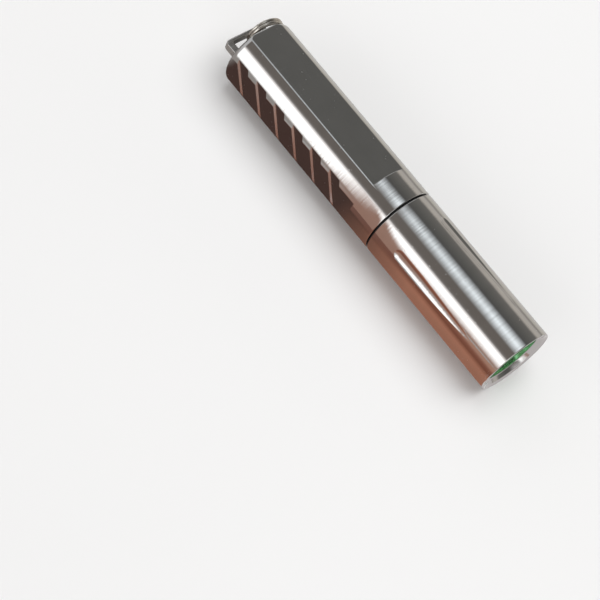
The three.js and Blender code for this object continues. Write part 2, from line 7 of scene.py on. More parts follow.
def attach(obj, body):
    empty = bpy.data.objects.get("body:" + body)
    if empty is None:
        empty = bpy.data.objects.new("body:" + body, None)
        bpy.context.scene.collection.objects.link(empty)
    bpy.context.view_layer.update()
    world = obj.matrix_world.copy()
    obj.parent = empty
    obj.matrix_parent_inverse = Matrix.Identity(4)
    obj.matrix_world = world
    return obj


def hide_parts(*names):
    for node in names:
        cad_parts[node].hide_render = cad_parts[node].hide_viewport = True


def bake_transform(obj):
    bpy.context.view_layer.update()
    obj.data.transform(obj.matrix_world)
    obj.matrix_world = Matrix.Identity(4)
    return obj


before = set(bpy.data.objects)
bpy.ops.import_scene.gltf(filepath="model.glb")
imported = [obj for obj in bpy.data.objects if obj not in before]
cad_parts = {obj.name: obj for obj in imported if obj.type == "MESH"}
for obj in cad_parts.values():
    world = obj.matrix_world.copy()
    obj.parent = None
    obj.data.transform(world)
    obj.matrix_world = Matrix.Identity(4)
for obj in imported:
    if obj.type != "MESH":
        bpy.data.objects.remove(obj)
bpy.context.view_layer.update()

# Sizes in millimetres, from the solids or close to them, for pieces that are modelled round the X axis
MM = 0.001
AXIS_HEIGHT = 7.0
OUTER = 6.99
JOINT = -31.5
HEAD_REAR = -31.31
SHOULDER = -31.69
SOFT_EDGE = 0.15
NECK_RADIUS = 5.93
NECK_END = -20.15
THREAD_ROOT = 5.6
BODY_BORE = 5.4
BODY_FLOOR = -70.45
CELL_BACK = -65.7
TAIL = -72.05
TAIL_FILLET = 1.1
FLUTE_COUNT = 4
FLUTE_ANGLE = 24.5
FLAT_START = -37.35
FLAT_DEPTH = 0.89
GRIP_DEPTH = 0.455
GROOVE_DEPTH = 0.36
GROOVE_PITCH = 5.12
GROOVE_FLOOR = 2.56
GROOVE_WALL_RUN = 0.26
GROOVE_SLANT = math.radians(30)
GROOVE_FIRST = 3.75
GROOVE_COUNT = 6
LUG_WIDTH = 8.6
LUG_HEIGHT = 3.65
LUG_THICKNESS = 1.6
LUG_LEG = 1.5
LUG_BAR = 0.75
WINDOW_FRONT = -1.1
GLASS_RADIUS = 6.0

# How finely round shapes are made, and how far cutters reach past the steel
FACETS = 256
STATION = 2.0
HAIR = 0.01
REACH = OUTER + 1

# Degrees round the axis and depth of the plain flats and of the grips
FLATS = [(0, FLAT_DEPTH), (180, FLAT_DEPTH)]
GRIPS = [(90, GRIP_DEPTH), (-90, GRIP_DEPTH)]


# Helpers for modelling by hand

def clear_selection():
    if bpy.context.object is not None and bpy.context.object.mode != "OBJECT":
        bpy.ops.object.mode_set(mode="OBJECT")
    bpy.ops.object.select_all(action="DESELECT")


def pick(piece):
    clear_selection()
    piece.select_set(True)
    bpy.context.view_layer.objects.active = piece


def named(name):
    piece = bpy.context.object
    piece.name = name
    piece.data.name = name
    return piece


def fix_place():
    """Puts the active piece's place, turn and size into its mesh."""
    bpy.ops.object.transform_apply(location=True, rotation=True, scale=True)


def settle(piece):
    """Lifts a finished piece from the X axis to the light's own axis."""
    pick(piece)
    piece.location.z += AXIS_HEIGHT * MM
    fix_place()


def mend(piece, gap=1e-8):
    """Merges doubles and turns the faces outwards."""
    pick(piece)
    bpy.ops.object.mode_set(mode="EDIT")
    bpy.ops.mesh.select_all(action="SELECT")
    bpy.ops.mesh.remove_doubles(threshold=gap)
    bpy.ops.mesh.normals_make_consistent(inside=False)
    bpy.ops.object.mode_set(mode="OBJECT")


def turned(name, outline, facets=FACETS, centre=0.0):
    """A shape turned round a line along X at height centre: a ring is drawn out from station to station."""
    clear_selection()
    x, radius = outline[0]
    bpy.ops.mesh.primitive_circle_add(
        vertices=facets, radius=radius * MM, location=(x * MM, 0, centre * MM),
        rotation=(0, math.pi / 2, 0))
    piece = named(name)
    fix_place()
    bpy.ops.object.mode_set(mode="EDIT")
    bpy.ops.mesh.select_mode(type="EDGE")
    bpy.ops.mesh.select_all(action="SELECT")
    for (x0, r0), (x1, r1) in zip(outline, outline[1:]):
        bpy.ops.mesh.extrude_edges_move(
            TRANSFORM_OT_translate={"value": ((x1 - x0) * MM, 0, 0)})
        if r1 == 0:
            bpy.ops.mesh.merge(type="CENTER")
        elif r1 != r0:
            bpy.ops.transform.resize(
                value=(1, r1 / r0, r1 / r0), center_override=(x1 * MM, 0, centre * MM))
    bpy.ops.object.mode_set(mode="OBJECT")
    mend(piece)
    return piece


def close_first_ring(piece):
    """Fills the open ring that a turned piece started from."""
    pick(piece)
    bpy.ops.object.mode_set(mode="EDIT")
    bpy.ops.mesh.select_mode(type="EDGE")
    bpy.ops.mesh.select_all(action="DESELECT")
    bpy.ops.mesh.select_non_manifold()
    bpy.ops.mesh.edge_face_add()
    bpy.ops.mesh.select_all(action="SELECT")
    bpy.ops.mesh.normals_make_consistent(inside=False)
    bpy.ops.object.mode_set(mode="OBJECT")


def wind(count, move, angle):
    """Draws the selected section out step by step round the X axis. move gives each step's own shift."""
    for i in range(count):
        bpy.ops.mesh.extrude_region_move(TRANSFORM_OT_translate={"value": move(i)})
        bpy.ops.transform.rotate(value=angle, orient_axis="X", center_override=(0, 0, 0))


def arc(x, radius, size, start, end, steps):
    """Stations on a round of a given size, between two angles in degrees."""
    points = []
    for i in range(steps + 1):
        angle = math.radians(start + (end - start) * i / steps)
        points.append((x + size * math.cos(angle), radius + size * math.sin(angle)))
    return points


def stretch(start, end, radius):
    """Stations along a straight run, without its first."""
    count = max(1, round(abs(end - start) / STATION))
    return [(start + (end - start) * i / count, radius) for i in range(1, count + 1)]


def block(name, low, high):
    clear_selection()
    middle = [(a + b) / 2 * MM for a, b in zip(low, high)]
    bpy.ops.mesh.primitive_cube_add(size=1, location=middle)
    piece = named(name)
    piece.scale = [(b - a) * MM for a, b in zip(low, high)]
    fix_place()
    return piece


def turn(piece, degrees):
    """Turns a piece about the X axis."""
    pick(piece)
    piece.rotation_euler.x = math.radians(degrees)
    bpy.ops.object.transform_apply(location=False, rotation=True, scale=False)
    return piece


def copied(piece, name):
    pick(piece)
    bpy.ops.object.duplicate(linked=False)
    return named(name)


def join_solid(piece, other, operation):
    pick(piece)
    bpy.ops.object.modifier_add(type="BOOLEAN")
    modifier = piece.modifiers[-1]
    modifier.operation = operation
    modifier.solver = "EXACT"
    modifier.object = other
    bpy.ops.object.modifier_apply(modifier=modifier.name)
    bpy.data.objects.remove(other)


def cut(piece, cutter):
    join_solid(piece, cutter, "DIFFERENCE")


def add(piece, other):
    join_solid(piece, other, "UNION")


def choose(piece, mode, kind, test):
    """Leaves edit mode on, with the points, edges or faces that pass the test selected."""
    pick(piece)
    bpy.ops.object.mode_set(mode="EDIT")
    bpy.ops.mesh.select_mode(type=mode)
    bpy.ops.mesh.select_all(action="DESELECT")
    bpy.ops.object.mode_set(mode="OBJECT")
    for element in getattr(piece.data, kind):
        element.select = test(element)
    bpy.ops.object.mode_set(mode="EDIT")


def move_points(piece, test, value):
    choose(piece, "VERT", "vertices", lambda point: test(point.co))
    bpy.ops.transform.translate(value=value)
    bpy.ops.object.mode_set(mode="OBJECT")


def inset_front(piece, *steps):
    """Sets in the face that looks along X, step by step, each a thickness and a depth."""
    choose(piece, "FACE", "polygons", lambda face: face.normal.x > 0.9)
    for thickness, depth in steps:
        bpy.ops.mesh.inset(thickness=thickness * MM, depth=depth * MM)
    bpy.ops.object.mode_set(mode="OBJECT")


def round_edges(piece, test, width, segments):
    """Bevels the edges whose two ends pass the test."""
    points = piece.data.vertices
    choose(piece, "EDGE", "edges", lambda edge: test(*(points[i].co for i in edge.vertices)))
    bpy.ops.mesh.bevel(offset=width * MM, segments=segments, affect="EDGES")
    bpy.ops.object.mode_set(mode="OBJECT")


def smooth(piece, degrees):
    pick(piece)
    bpy.ops.object.shade_smooth_by_angle(angle=math.radians(degrees))


def even_normals(piece):
    """Large faces keep their own direction, so flats stay flat and narrow breaks look round."""
    pick(piece)
    bpy.ops.object.modifier_add(type="WEIGHTED_NORMAL")
    modifier = piece.modifiers[-1]
    modifier.mode = "FACE_AREA"
    modifier.weight = 100
    modifier.keep_sharp = True
    bpy.ops.object.modifier_apply(modifier=modifier.name)


def paint(piece, *materials):
    piece.data.materials.clear()
    for material in materials:
        piece.data.materials.append(material)


def finish_piece(piece, body, slot, *nodes):
    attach(piece, body)
    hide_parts(*nodes)


# Helpers for materials, with lengths in metres

MICRON = 0.000001


def new_material(name):
    material = bpy.data.materials.new(name)
    material.use_nodes = True
    tree = material.node_tree
    return material, tree, tree.nodes["Principled BSDF"]


def node(tree, kind, **settings):
    made = tree.nodes.new("ShaderNode" + kind)
    for key, value in settings.items():
        setattr(made, key, value)
    return made


def feed(tree, value, shader, socket):
    tree.links.new(value, shader.inputs[socket])


def hold(shader, **values):
    """Sets sockets that are the same all over a surface, named with _ for a space."""
    for key, value in values.items():
        shader.inputs[key.replace("_", " ")].default_value = value


def cubed(repeats):
    return (repeats, repeats, repeats)


def placed(tree, scale, turned_by=(0, 0, 0)):
    """Object coordinates at a scale along X, Y and Z, in repeats per metre."""
    where = node(tree, "TexCoord")
    mapping = node(tree, "Mapping")
    hold(mapping, Scale=scale, Rotation=turned_by)
    feed(tree, where.outputs["Object"], mapping, "Vector")
    return mapping.outputs["Vector"]


def parts_of(tree, coordinates="Object"):
    """X, Y and Z of a coordinate."""
    where = node(tree, "TexCoord")
    parts = node(tree, "SeparateXYZ")
    feed(tree, where.outputs[coordinates], parts, "Vector")
    return parts.outputs["X"], parts.outputs["Y"], parts.outputs["Z"]


def noise(tree, scale, detail=2.0, rough=0.5, turned_by=(0, 0, 0)):
    made = node(tree, "TexNoise")
    hold(made, Scale=1.0, Detail=detail, Roughness=rough)
    feed(tree, placed(tree, scale, turned_by), made, "Vector")
    return made.outputs["Fac"]


def ranged(tree, value, low, high, to_low, to_high):
    made = node(tree, "MapRange")
    hold(made, From_Min=low, From_Max=high, To_Min=to_low, To_Max=to_high)
    feed(tree, value, made, "Value")
    return made.outputs["Result"]


def spread(tree, pattern, low, high):
    """A noise, most of which lies between 0.3 and 0.7, over another range."""
    return ranged(tree, pattern, 0.3, 0.7, low, high)


def worked(tree, operation, a, b):
    made = node(tree, "Math", operation=operation)
    for socket, value in zip(made.inputs, (a, b)):
        if isinstance(value, (int, float)):
            socket.default_value = value
        else:
            tree.links.new(value, socket)
    return made.outputs["Value"]


def times(tree, a, b):
    return worked(tree, "MULTIPLY", a, b)


def bumped(tree, height, depth, strength=1.0, normal=None):
    made = node(tree, "Bump")
    hold(made, Distance=depth, Strength=strength)
    feed(tree, height, made, "Height")
    if normal is not None:
        feed(tree, normal, made, "Normal")
    return made.outputs["Normal"]


def eased(tree, radius):
    """Edges that look rounded to a radius."""
    made = node(tree, "Bevel", samples=6)
    hold(made, Radius=radius)
    return made.outputs["Normal"]


def mixed(tree, amount, low, high):
    """From one colour to another, each a triple of numbers or the output of a node."""
    made = node(tree, "Mix", data_type="RGBA")
    feed(tree, amount, made, "Factor")
    for socket, colour in (("A", low), ("B", high)):
        if isinstance(colour, tuple):
            made.inputs[socket].default_value = (*colour, 1)
        else:
            feed(tree, colour, made, socket)
    return made.outputs["Result"]


def ramped(tree, value, stops):
    """Colours along a value, each stop a position and a colour."""
    made = node(tree, "ValToRGB")
    elements = made.color_ramp.elements
    while len(elements) < len(stops):
        elements.new(0.5)
    for element, (position, colour) in zip(elements, stops):
        element.position = position
        element.color = (*colour, 1)
    feed(tree, value, made, "Fac")
    return made.outputs["Color"]


# Finishes

def scratches(tree):
    """A few fine handling marks that run in two slanting directions."""
    first = noise(tree, (160, 9000, 5000), 0.0, 0.5, (0.3, 0.4, 0.6))
    second = noise(tree, (7000, 140, 6000), 0.0, 0.5, (0.8, -0.5, 0.3))
    marks = worked(tree, "MAXIMUM",
                   ranged(tree, first, 0.78, 0.8, 0.0, 1.0),
                   ranged(tree, second, 0.79, 0.81, 0.0, 1.0))
    patches = ranged(tree, noise(tree, cubed(90)), 0.56, 0.64, 0.0, 1.0)
    return times(tree, marks, patches)


def specks(tree):
    """Scattered pits and nicks, each a small fraction of a millimetre."""
    made = node(tree, "TexVoronoi")
    hold(made, Scale=1.0)
    feed(tree, placed(tree, cubed(900)), made, "Vector")
    pits = ranged(tree, made.outputs["Distance"], 0.05, 0.1, 1.0, 0.0)
    chosen = ranged(tree, noise(tree, cubed(300)), 0.43, 0.53, 0.0, 1.0)
    return times(tree, pits, chosen)


def turned_steel():
    """Polished steel with the fine lines that turning leaves round the light."""
    material, tree, shader = new_material("turned_steel")
    fine = noise(tree, (4000, 30, 30), 3.0, 0.6)
    lines = noise(tree, (1500, 24, 24), 2.0, 0.55)
    broad = noise(tree, (420, 60, 60), 2.0, 0.5)
    marks = specks(tree)
    feed(tree, mixed(tree, broad, (0.60, 0.597, 0.59), (0.68, 0.677, 0.67)), shader, "Base Color")
    roughness = worked(tree, "ADD", spread(tree, fine, 0.06, 0.12), times(tree, marks, 0.2))
    feed(tree, roughness, shader, "Roughness")
    hold(shader, Metallic=1.0, Anisotropic=0.5, Anisotropic_Rotation=0.25)
    tangent = node(tree, "Tangent", direction_type="RADIAL", axis="X")
    feed(tree, tangent.outputs["Tangent"], shader, "Tangent")
    normal = bumped(tree, fine, 12 * MICRON, 0.8, eased(tree, 50 * MICRON))
    normal = bumped(tree, lines, 28 * MICRON, 0.8, normal)
    feed(tree, bumped(tree, marks, -10 * MICRON, 0.8, normal), shader, "Normal")
    return material


def ground_steel():
    """The flats and grips: finely ground along the light, then polished."""
    material, tree, shader = new_material("ground_steel")
    grain = noise(tree, (60, 7000, 7000), 3.0, 0.6)
    cloud = noise(tree, cubed(220), 2.0, 0.5)
    marks = worked(tree, "MAXIMUM", specks(tree), times(tree, scratches(tree), 0.3))
    feed(tree, mixed(tree, cloud, (0.57, 0.57, 0.57), (0.66, 0.66, 0.66)), shader, "Base Color")
    roughness = worked(tree, "ADD", spread(tree, grain, 0.1, 0.17), times(tree, marks, 0.3))
    feed(tree, roughness, shader, "Roughness")
    hold(shader, Metallic=1.0)
    normal = bumped(tree, grain, 1.5 * MICRON, 0.5, eased(tree, 100 * MICRON))
    feed(tree, bumped(tree, marks, -6 * MICRON, 0.8, normal), shader, "Normal")
    return material


def grained(name, colours, rough, scale, depth, metal=False):
    """A fine grain that moves the colour, the gloss and the height of a surface together."""
    material, tree, shader = new_material(name)
    grain = noise(tree, scale, 3.0, 0.6)
    feed(tree, mixed(tree, grain, *colours), shader, "Base Color")
    feed(tree, spread(tree, grain, *rough), shader, "Roughness")
    normal = None
    if metal:
        hold(shader, Metallic=1.0)
        normal = eased(tree, 40 * MICRON)
    feed(tree, bumped(tree, grain, depth * MICRON, 0.6, normal), shader, "Normal")
    return material


def plain_metal(name, *finish):
    return grained(name, *finish, metal=True)


def coated_glass():
    """Clear window glass with a coating that reflects green, most of all at a low angle."""
    material, tree, shader = new_material("coated_glass")
    film = noise(tree, (120, 260, 260), 2.0, 0.5)
    feed(tree, mixed(tree, film, (0.60, 0.88, 0.63), (0.66, 0.92, 0.69)), shader, "Base Color")
    feed(tree, spread(tree, film, 0.015, 0.03), shader, "Roughness")
    hold(shader, Metallic=0.38, Specular_Tint=(0.20, 0.75, 0.28, 1), Transmission_Weight=1.0, IOR=1.05)
    return material


def clear_silicone():
    """The soft clear lens over the LED."""
    material, tree, shader = new_material("clear_silicone")
    cloud = noise(tree, cubed(900), 2.0, 0.5)
    feed(tree, mixed(tree, cloud, (0.93, 0.92, 0.84), (0.98, 0.97, 0.92)), shader, "Base Color")
    feed(tree, spread(tree, cloud, 0.03, 0.08), shader, "Roughness")
    hold(shader, Transmission_Weight=0.9, IOR=1.41)
    return material


# Grained finishes: two colours, the range of roughness, the grain along X, Y and Z, and its depth in microns
steel_round = turned_steel()
steel_flat = ground_steel()
steel_lug = plain_metal(
    "brushed_steel", ((0.50, 0.49, 0.475), (0.62, 0.61, 0.60)), (0.24, 0.34), (900, 260, 7000), 2)
nickel = plain_metal(
    "nickel_plate", ((0.56, 0.53, 0.48), (0.66, 0.63, 0.58)), (0.14, 0.24), cubed(900), 3)
gold = plain_metal(
    "gold_plate", ((0.76, 0.56, 0.22), (0.87, 0.67, 0.30)), (0.16, 0.28), cubed(1400), 3)
brass = plain_metal(
    "turned_brass", ((0.68, 0.48, 0.20), (0.80, 0.60, 0.29)), (0.18, 0.34), (4200, 40, 40), 4)
mirror_film = plain_metal(
    "mirror_film", ((0.86, 0.87, 0.88), (0.93, 0.93, 0.94)), (0.03, 0.06), cubed(500), 1)
board_mask = grained(
    "white_board_mask", ((0.80, 0.81, 0.79), (0.88, 0.88, 0.86)), (0.35, 0.5), cubed(1800), 4)
rubber = grained(
    "black_rubber", ((0.012, 0.012, 0.013), (0.03, 0.03, 0.031)), (0.45, 0.65), cubed(3000), 8)
white_plastic = grained(
    "white_plastic", ((0.82, 0.82, 0.79), (0.90, 0.90, 0.87)), (0.4, 0.55), cubed(1600), 6)
ceramic = grained(
    "white_ceramic", ((0.84, 0.83, 0.79), (0.92, 0.91, 0.88)), (0.35, 0.5), cubed(4000), 3)
phosphor = grained(
    "phosphor", ((0.80, 0.62, 0.06), (0.92, 0.76, 0.14)), (0.5, 0.7), cubed(9000), 4)
solder_green = grained(
    "solder_mask", ((0.02, 0.13, 0.06), (0.04, 0.20, 0.09)), (0.3, 0.45), cubed(2200), 4)
chip_black = grained(
    "chip_plastic", ((0.015, 0.015, 0.017), (0.035, 0.035, 0.038)), (0.4, 0.6), cubed(5000), 6)
ferrite = grained(
    "ferrite", ((0.05, 0.052, 0.056), (0.10, 0.10, 0.105)), (0.5, 0.7), cubed(5200), 10)
capacitor_tan = grained(
    "capacitor_ceramic", ((0.40, 0.24, 0.11), (0.52, 0.33, 0.16)), (0.35, 0.5), cubed(6000), 4)
cell_sleeve = grained(
    "cell_sleeve", ((0.045, 0.048, 0.054), (0.075, 0.08, 0.088)), (0.22, 0.36), (300, 900, 900), 4)
red_skin = grained(
    "red_insulation", ((0.42, 0.02, 0.015), (0.56, 0.04, 0.03)), (0.3, 0.45), cubed(2600), 5)
black_skin = grained(
    "black_insulation", ((0.012, 0.012, 0.013), (0.03, 0.03, 0.03)), (0.3, 0.45), cubed(2600), 5)
window_glass = coated_glass()
silicone = clear_silicone()


# Head

def flute_cutter():
    """Round nose, straight run, and an even taper that leaves the surface at a point."""
    width, depth = 2.07, 0.32
    start, straight, taper = JOINT + 5.1, 6.4, 13.0
    nose_from, nose_to, nose_steps = 176, 90, 22
    taper_steps, facets = 40, 144
    half = width / 2
    sag = depth - (OUTER - math.sqrt(OUTER ** 2 - half ** 2))
    size = (half ** 2 + sag ** 2) / (2 * sag)
    axis = OUTER - depth + size
    graze = axis - OUTER
    nose = math.sqrt(size ** 2 - graze ** 2)
    outline = arc(start + nose, 0, size, nose_from, nose_to, nose_steps)
    for i in range(taper_steps + 1):
        share = i / taper_steps
        outline.append((start + straight + taper * share, graze + depth * (1 - share)))
    cutter = turned("flute_cutter", outline, facets, axis)
    close_first_ring(cutter)
    return cutter


def head():
    """The shell with its flutes, and a lip that dishes in two slopes to the window."""
    pocket_floor, pocket_radius, bore, opening = -30.48, 6.64, 6.05, 5.7
    crest = [(0, 6.74), (-0.02, 6.69), (-0.05, 6.63)]
    outer_slope = [(-0.25, 6.29), (-0.30, 6.22), (-0.37, 6.17)]
    inner_slope = [(-0.92, 5.88), (-0.98, 5.83), (-1.03, 5.77), (-1.06, opening)]
    rim = OUTER - SOFT_EDGE
    outline = [(HEAD_REAR, pocket_radius), (HEAD_REAR, rim)]
    outline += arc(HEAD_REAR + SOFT_EDGE, rim, SOFT_EDGE, 180, 90, 8)[1:]
    outline += stretch(HEAD_REAR + SOFT_EDGE, -SOFT_EDGE, OUTER)
    outline += arc(-SOFT_EDGE, rim, SOFT_EDGE, 90, 0, 8)[1:]
    outline += crest + outer_slope + inner_slope
    outline += [(WINDOW_FRONT, opening), (WINDOW_FRONT, bore), (pocket_floor, bore)]
    outline += [(pocket_floor, pocket_radius), (HEAD_REAR, pocket_radius)]
    piece = turned("head_steel", outline)
    first = flute_cutter()
    for i in range(FLUTE_COUNT):
        cutter = turn(copied(first, "flute"), -(FLUTE_ANGLE + 360 / FLUTE_COUNT * i))
        cut(piece, cutter)
    bpy.data.objects.remove(first)
    smooth(piece, 16)
    even_normals(piece)
    paint(piece, steel_round)
    settle(piece)
    finish_piece(piece, "head", "polished_steel", "head_shell")


# Body

def groove_cutter(start):
    """A slanted groove with sloping walls, for the grip that faces -Y."""
    level = OUTER - GRIP_DEPTH - GROOVE_DEPTH
    run = GROOVE_WALL_RUN * (REACH - level) / GROOVE_DEPTH
    cutter = block("groove_cutter", (start, -REACH, -REACH), (start + GROOVE_FLOOR, -level, REACH))
    middle = (start + GROOVE_FLOOR / 2) * MM
    outside = -(REACH + level) / 2 * MM
    move_points(cutter, lambda p: p.y < outside and p.x < middle, (-run * MM, 0, 0))
    move_points(cutter, lambda p: p.y < outside and p.x > middle, (run * MM, 0, 0))
    slide = REACH * math.tan(GROOVE_SLANT) * MM
    move_points(cutter, lambda p: p.z > 0, (-slide, 0, 0))
    move_points(cutter, lambda p: p.z < 0, (slide, 0, 0))
    return cutter


def round_far_corners(piece, far, size, segments):
    """Rounds the corners at the end of a block that points away from the body."""
    limit = (far + HAIR) * MM
    round_edges(piece, lambda a, b: a.x < limit and b.x < limit and abs(a.z - b.z) > MM, size, segments)


def lug():
    """A flat eye on the tail face: a block with two round corners, a slot through it and softened edges."""
    half, thick, top = LUG_WIDTH / 2, LUG_THICKNESS / 2, TAIL - LUG_HEIGHT
    leg_less, bar_less = 0.25, 0.1
    slot_half, slot_top = half - LUG_LEG + leg_less, top + LUG_BAR - bar_less
    root, slot_root, slot_thick = 0.8, 0.3, 2
    corner, slot_corner, soft = 0.9, 0.35, 0.16
    piece = block("lug", (top, -half, -thick), (TAIL + root, half, thick))
    round_far_corners(piece, top, corner, 8)
    slot = block("slot", (slot_top, -slot_half, -slot_thick), (TAIL + slot_root, slot_half, slot_thick))
    round_far_corners(slot, slot_top, slot_corner, 6)
    cut(piece, slot)
    limit = (TAIL - 2 * HAIR) * MM
    level = thick * MM
    same = 1e-7

    def on_face_edge(a, b):
        return abs(abs(a.z) - level) < same and abs(a.z - b.z) < same and (a.x < limit or b.x < limit)

    round_edges(piece, on_face_edge, soft, 3)
    return piece


def neck_thread():
    """A ridge with sloping flanks that winds round the neck. Its foot laps into the neck."""
    pitch, start, turns, steps = 0.75, -28.9, 10.6, 72
    foot, flank, lap = 0.62, 0.2, 0.1
    middle = (THREAD_ROOT + NECK_RADIUS) / 2 * MM
    x = start * MM
    clear_selection()
    bpy.ops.mesh.primitive_plane_add(size=1, location=(x, 0, middle), rotation=(math.pi / 2, 0, 0))
    piece = named("neck_thread")
    piece.scale = (foot * MM, (NECK_RADIUS - THREAD_ROOT + 2 * lap) * MM, 1)
    fix_place()
    move_points(piece, lambda p: p.z > middle and p.x < x, (flank * MM, 0, -lap * MM))
    move_points(piece, lambda p: p.z > middle and p.x > x, (-flank * MM, 0, -lap * MM))
    pick(piece)
    bpy.ops.object.mode_set(mode="EDIT")
    bpy.ops.mesh.select_all(action="SELECT")
    wind(round(turns * steps), lambda i: (pitch / steps * MM, 0, 0), 2 * math.pi / steps)
    bpy.ops.object.mode_set(mode="OBJECT")
    mend(piece)
    return piece


def soften_flats(piece):
    """Rounds the rim where the flats and grips meet the tail face, and breaks the flats' front edges."""
    rim, slab = 0.32, 3
    for side, depth in FLATS + GRIPS:
        for lean in (18, 36, 54, 72):
            cutter = block("rim_cutter", (-slab, -REACH, rim), (slab, REACH, slab))
            cutter.rotation_euler.y = -math.radians(lean)
            cutter.location = Vector((TAIL + rim, 0, OUTER - depth - rim)) * MM
            fix_place()
            cut(piece, turn(cutter, side))
    front_break, lap, short = 0.1, 0.06, 0.02
    half = math.sqrt(OUTER ** 2 - (OUTER - FLAT_DEPTH) ** 2) - short
    outline = [(FLAT_START - lap, OUTER - front_break - lap), (FLAT_START + front_break + lap, OUTER + lap),
               (FLAT_START - lap, OUTER + lap)]
    for side, _ in FLATS:
        ring = turned("break_ring", outline + outline[:1])
        room = block("break_room", (FLAT_START - 1, -half, 0), (FLAT_START + 1, half, REACH))
        join_solid(ring, room, "INTERSECT")
        cut(piece, turn(ring, side))


def edge_breaks(sides, sink):
    """Narrow slabs that lean to both sides of each flat and break its long edges."""
    found = []
    for side, depth in sides:
        edge = math.degrees(math.acos((OUTER - depth) / OUTER))
        for lean in (edge / 2, -edge / 2):
            found.append((side + lean, OUTER - OUTER * math.cos(math.radians(edge / 2)) + sink))
    return found


def body_finish(face):
    """Which finish a face of the body takes: 0 turned, 1 ground, 2 brushed."""
    tail_skin, round_skin, least_area, least_tilt = 0.004, 0.03, 4e-9, 0.05
    if face.center.x < (TAIL + tail_skin) * MM:
        return 2
    radial = math.hypot(face.center.y, face.center.z)
    if face.center.x > FLAT_START * MM or radial > (OUTER - round_skin) * MM:
        return 0
    return 1 if face.area > least_area or abs(face.normal.x) > least_tilt else 0


def body():
    """The tube with its neck, flats, grips, grooves and lug, in one piece."""
    core, core_end, land_start, tail_inner = 5.66, -29.1, -29.3, 3.0
    outline = [(BODY_FLOOR, BODY_BORE), (NECK_END, BODY_BORE), (NECK_END, THREAD_ROOT)]
    outline += [(NECK_END - SOFT_EDGE, core), (core_end, core)]
    outline += [(land_start, NECK_RADIUS), (SHOULDER, NECK_RADIUS)]
    outline += arc(SHOULDER - SOFT_EDGE, OUTER - SOFT_EDGE, SOFT_EDGE, 0, 90, 8)
    outline += stretch(SHOULDER - SOFT_EDGE, TAIL + TAIL_FILLET, OUTER)
    fillet = arc(TAIL + TAIL_FILLET, OUTER - TAIL_FILLET, TAIL_FILLET, 180, 90, 24)
    outline += fillet[::-1][1:]
    outline += [(TAIL, tail_inner), (TAIL, 0)]
    piece = turned("body_steel", outline)
    close_first_ring(piece)
    for angle, depth in FLATS + GRIPS + edge_breaks(FLATS, 0.022) + edge_breaks(GRIPS, 0.008):
        slab = block("slab", (TAIL - 1, -REACH, OUTER - depth), (FLAT_START, REACH, REACH))
        cut(piece, turn(slab, angle))
    soften_flats(piece)
    for i in range(GROOVE_COUNT):
        start = TAIL + GROOVE_FIRST + i * GROOVE_PITCH
        cut(piece, groove_cutter(start))
        cut(piece, turn(groove_cutter(start), 180))
    add(piece, lug())
    add(piece, neck_thread())
    smooth(piece, 19)
    even_normals(piece)
    paint(piece, steel_round, steel_flat, steel_lug)
    for face in piece.data.polygons:
        face.material_index = body_finish(face)
    settle(piece)
    finish_piece(piece, "body", "polished_steel", "body_tube")


# Split ring, seal and spring

def split_ring():
    """Two coils of flat wire that nearly touch, stepping across in one place."""
    radius, wide, thick, gap, corner = 3.1, 0.8, 0.5, 0.06, 0.13
    step, steps = math.radians(56), 96
    clear_selection()
    bpy.ops.mesh.primitive_plane_add(size=1, location=(0, 0, 0))
    piece = named("split_ring_wire")
    piece.scale = (thick * MM, wide * MM, 1)
    fix_place()
    bpy.ops.object.mode_set(mode="EDIT")
    bpy.ops.mesh.select_all(action="SELECT")
    bpy.ops.mesh.bevel(offset=corner * MM, segments=3, affect="VERTICES")
    bpy.ops.mesh.select_all(action="SELECT")
    climb = (thick + gap) * MM
    bpy.ops.transform.translate(value=(-climb / 2, radius * MM, 0))
    whole_turn = 4 * math.pi - step
    count = round(whole_turn / (2 * math.pi) * steps)
    bpy.ops.transform.rotate(value=-step / 2, orient_axis="X", center_override=(0, 0, 0))
    lead = step / whole_turn

    def height(share):
        t = min(1.0, max(0.0, (share - 0.5) / lead + 0.5))
        return climb * t * t * (3 - 2 * t)

    wind(count, lambda i: (height((i + 1) / count) - height(i / count), 0, 0), -whole_turn / count)
    bpy.ops.object.mode_set(mode="OBJECT")
    mend(piece)
    cant, shift, rise = math.radians(10), 0.45, 1.25
    slot_middle = TAIL - (LUG_HEIGHT - LUG_BAR) / 2
    leg_middle = (LUG_WIDTH - LUG_LEG) / 2
    pick(piece)
    piece.rotation_euler.z = -cant
    piece.location = (slot_middle * MM, (leg_middle - shift) * MM, rise * MM)
    smooth(piece, 40)
    paint(piece, nickel)
    settle(piece)
    finish_piece(piece, "key_ring", "nickel_plate", "split_ring")


def seal_ring():
    """A round rubber ring with a narrow worn land on its crown."""
    section, crown_band, land = 0.33, 0.004, 0.02
    clear_selection()
    bpy.ops.mesh.primitive_torus_add(
        major_radius=(NECK_RADIUS + section) * MM, minor_radius=section * MM,
        major_segments=160, minor_segments=28,
        location=((SHOULDER + section) * MM, 0, 0), rotation=(0, math.pi / 2, 0))
    piece = named("seal_ring")
    fix_place()
    crown = (NECK_RADIUS + 2 * section - crown_band) * MM

    def at_crown(a, b):
        return math.hypot(a.y, a.z) > crown and math.hypot(b.y, b.z) > crown

    round_edges(piece, at_crown, land, 2)
    smooth(piece, 50)
    paint(piece, rubber)
    settle(piece)
    finish_piece(piece, "body", "black_rubber", "joint_oring")


